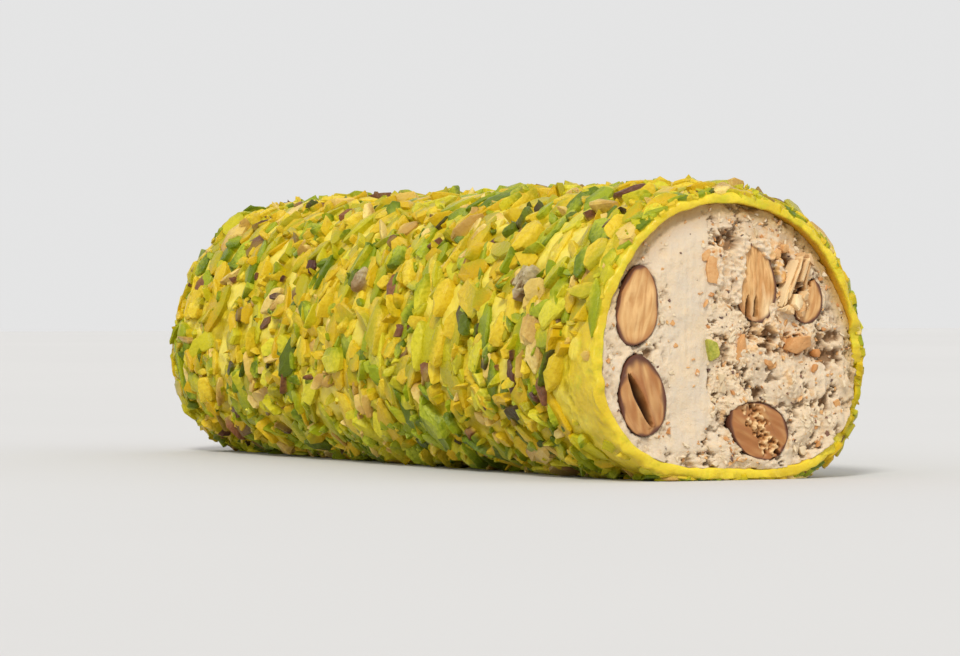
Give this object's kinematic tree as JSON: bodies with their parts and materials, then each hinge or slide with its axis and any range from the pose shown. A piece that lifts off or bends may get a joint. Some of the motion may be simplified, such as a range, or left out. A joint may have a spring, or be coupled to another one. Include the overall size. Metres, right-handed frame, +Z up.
{
  "type": "turkish delight roll",
  "caption": "Log of nougat with roasted almonds in a thin yellow wrap set with flat pistachio chips, cut square at its ends, lying on a small flat spot.",
  "frame": {"origin": "bottom centre of the roll's box, on the flat spot that it rests on", "axes": "+Y along the roll, away from the cut face that the picture shows; +Z up; +X to the right as that face is looked at"},
  "size_m": [0.0562, 0.1731, 0.0491],
  "materials": {
    "pistachio_wrap": "matte",
    "nougat": "matte",
    "roasted_almond": "satin"
  },
  "bodies": {
    "root": {"pistachio_wrap": "pistachio_wrap", "nougat_filling": "nougat", "almond_upper_left": "roasted_almond", "almond_lower_left": "roasted_almond", "almond_centre": "roasted_almond", "almond_broken": "roasted_almond", "almond_bottom": "roasted_almond", "almond_back_top": "roasted_almond", "almond_back_right": "roasted_almond", "almond_back_left": "roasted_almond", "almond_back_bottom": "roasted_almond"}
  },
  "joints": []
}
